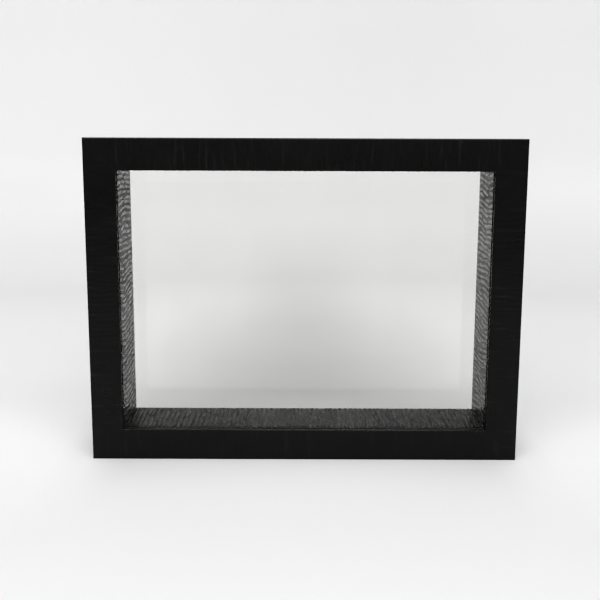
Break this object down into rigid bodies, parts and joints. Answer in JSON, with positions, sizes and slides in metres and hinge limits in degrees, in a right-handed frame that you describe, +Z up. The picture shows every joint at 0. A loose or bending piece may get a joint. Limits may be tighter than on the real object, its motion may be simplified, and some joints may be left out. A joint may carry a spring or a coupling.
{
  "type": "butterfly display case",
  "caption": "Free-standing shadow-box case: black embossed mitred frame with clear glass front and back and turn buttons behind, for showing a mounted butterfly.",
  "frame": {"origin": "centre of the underside, midway between the frame's front and rear faces", "axes": "+X to the viewer's right, -Y out of the front face towards the viewer, +Z up"},
  "size_m": [0.2032, 0.0408, 0.1524],
  "materials": {
    "embossed_black": "black semi-gloss wrap embossed with fine wavy ridges across the moulding",
    "liner_black": "the same black embossed wrap, ridges running front to back",
    "clear_glass": "clear float glass with seamed edges",
    "zinc_steel": "bright hardened steel strip",
    "screw_steel": "zinc-plated steel",
    "button_zinc": "bright zinc plate on stamped steel"
  },
  "bodies": {
    "case": {"bottom_rail": "embossed_black", "top_rail": "embossed_black", "left_rail": "embossed_black", "right_rail": "embossed_black", "front_glass": "clear_glass", "rear_glass": "clear_glass", "bottom_liner": "liner_black", "top_liner": "liner_black", "left_liner": "liner_black", "right_liner": "liner_black", "corner_v_nails": "zinc_steel", "button_screws": "screw_steel"},
    "turn_button_top_left": {"turn_button_top_left": "button_zinc"},
    "turn_button_top_right": {"turn_button_top_right": "button_zinc"},
    "turn_button_bottom_left": {"turn_button_bottom_left": "button_zinc"},
    "turn_button_bottom_right": {"turn_button_bottom_right": "button_zinc"},
    "turn_button_left": {"turn_button_left": "button_zinc"},
    "turn_button_right": {"turn_button_right": "button_zinc"}
  },
  "joints": [
    {"name": "turn_button_top_left_pivot", "type": "hinge", "parent": "case", "child": "turn_button_top_left", "pos_m": [-0.05, 0.0198, 0.1451], "axis": [0, 1, 0], "continuous": true},
    {"name": "turn_button_top_right_pivot", "type": "hinge", "parent": "case", "child": "turn_button_top_right", "pos_m": [0.05, 0.0198, 0.1451], "axis": [0, 1, 0], "continuous": true},
    {"name": "turn_button_bottom_left_pivot", "type": "hinge", "parent": "case", "child": "turn_button_bottom_left", "pos_m": [-0.05, 0.0198, 0.0073], "axis": [0, 1, 0], "continuous": true},
    {"name": "turn_button_bottom_right_pivot", "type": "hinge", "parent": "case", "child": "turn_button_bottom_right", "pos_m": [0.05, 0.0198, 0.0073], "axis": [0, 1, 0], "continuous": true},
    {"name": "turn_button_left_pivot", "type": "hinge", "parent": "case", "child": "turn_button_left", "pos_m": [-0.0943, 0.0198, 0.0762], "axis": [0, 1, 0], "continuous": true},
    {"name": "turn_button_right_pivot", "type": "hinge", "parent": "case", "child": "turn_button_right", "pos_m": [0.0943, 0.0198, 0.0762], "axis": [0, 1, 0], "continuous": true}
  ]
}
